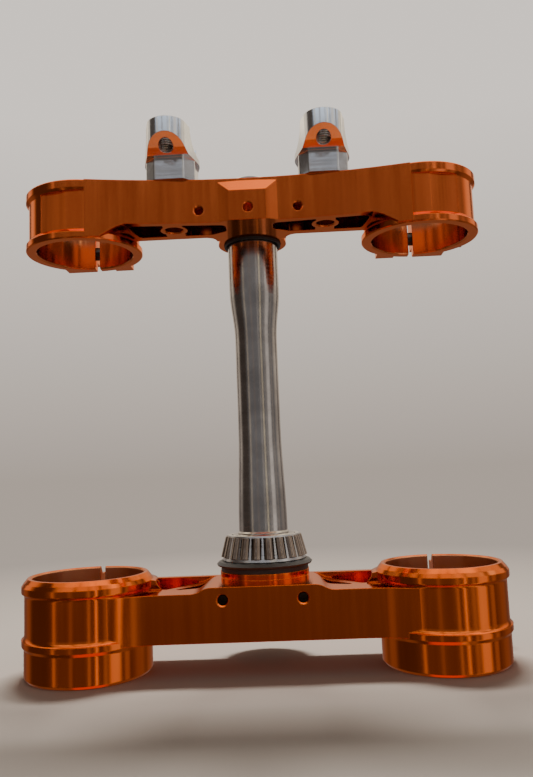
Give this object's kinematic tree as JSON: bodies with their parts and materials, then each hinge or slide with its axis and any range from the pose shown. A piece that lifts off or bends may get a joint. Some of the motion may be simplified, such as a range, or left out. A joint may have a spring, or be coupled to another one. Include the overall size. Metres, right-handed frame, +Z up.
{
  "type": "motorcycle triple clamp",
  "caption": "Motorcycle triple clamp: split upper and lower fork clamps joined by a steering stem, with a tapered roller bearing cone, pinch bolts and handlebar mounts.",
  "frame": {"origin": "on the steering stem's axis, at the stem's lower mouth level with the underside of the lower beam", "axes": "+Z up along the steering stem, +X along the line of the two fork tubes to the right as seen from the front, -Y forward from the stem towards the fork tubes"},
  "size_m": [0.2652, 0.0896, 0.296],
  "materials": {
    "anodised_aluminium": "satin",
    "machined_aluminium": "satin",
    "turned_steel": "polished",
    "bearing_steel": "polished",
    "cage_steel": "satin",
    "roller_steel": "polished",
    "seal_rubber": "matte",
    "bolt_steel": "black oxide"
  },
  "bodies": {
    "clamp_assembly": {"lower_clamp": "anodised_aluminium", "top_clamp": "anodised_aluminium", "steering_stem": "turned_steel", "stem_nut": "machined_aluminium", "stem_nut_washer": "turned_steel", "upper_seal_ring": "seal_rubber", "lower_dust_seal": "seal_rubber", "bearing_inner_race": "bearing_steel", "left_bar_mount": "machined_aluminium", "right_bar_mount": "machined_aluminium", "bar_mount_bolts": "bolt_steel", "top_pinch_bolts": "bolt_steel", "lower_pinch_bolts": "bolt_steel", "stem_pinch_bolt": "bolt_steel"},
    "bearing_cage_assembly": {"bearing_cage": "cage_steel", "bearing_rollers": "roller_steel"}
  },
  "joints": [
    {"name": "bearing_cage_spin", "type": "hinge", "parent": "clamp_assembly", "child": "bearing_cage_assembly", "pos_m": [0, 0, 0.044], "axis": [0, 0, 1], "continuous": true}
  ]
}
